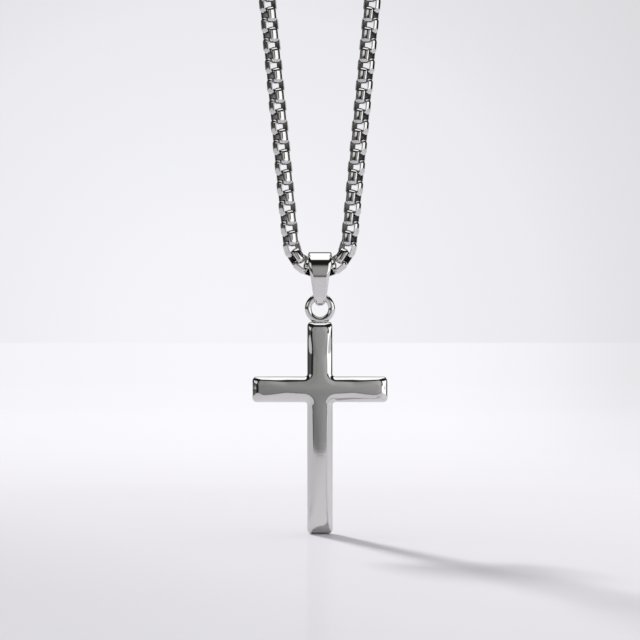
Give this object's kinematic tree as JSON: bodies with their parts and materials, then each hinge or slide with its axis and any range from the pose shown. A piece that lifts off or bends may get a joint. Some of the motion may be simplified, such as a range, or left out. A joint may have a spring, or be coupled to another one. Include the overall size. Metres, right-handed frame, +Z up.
{
  "type": "cross pendant with chain",
  "caption": "Polished steel cross with rounded bevelled bars, hung by a ring and tapered bail from a looped round box chain.",
  "frame": {"origin": "under the clasp at the crown of the chain's loop, where the chain rests on the back of the neck", "axes": "+Z up along the hanging loop, -Y out of the front of the cross, +X to the viewer's right"},
  "size_m": [0.0554, 0.0056, 0.3035],
  "materials": {
    "polished_steel": "mirror polished stainless steel",
    "chain_steel": "polished stainless steel links"
  },
  "bodies": {
    "chain": {"chain_front": "chain_steel", "chain_back": "chain_steel", "clasp": "polished_steel"},
    "bail": {"bail": "polished_steel"},
    "cross": {"cross": "polished_steel"}
  },
  "joints": [
    {"name": "bail_swing", "type": "hinge", "parent": "chain", "child": "bail", "pos_m": [0, 0, -0.25308], "axis": [1, 0, 0], "range_deg": [-90, 90]},
    {"name": "cross_swing", "type": "hinge", "parent": "bail", "child": "cross", "pos_m": [0, 0, -0.2581], "axis": [1, 0, 0], "range_deg": [-70, 70]}
  ]
}
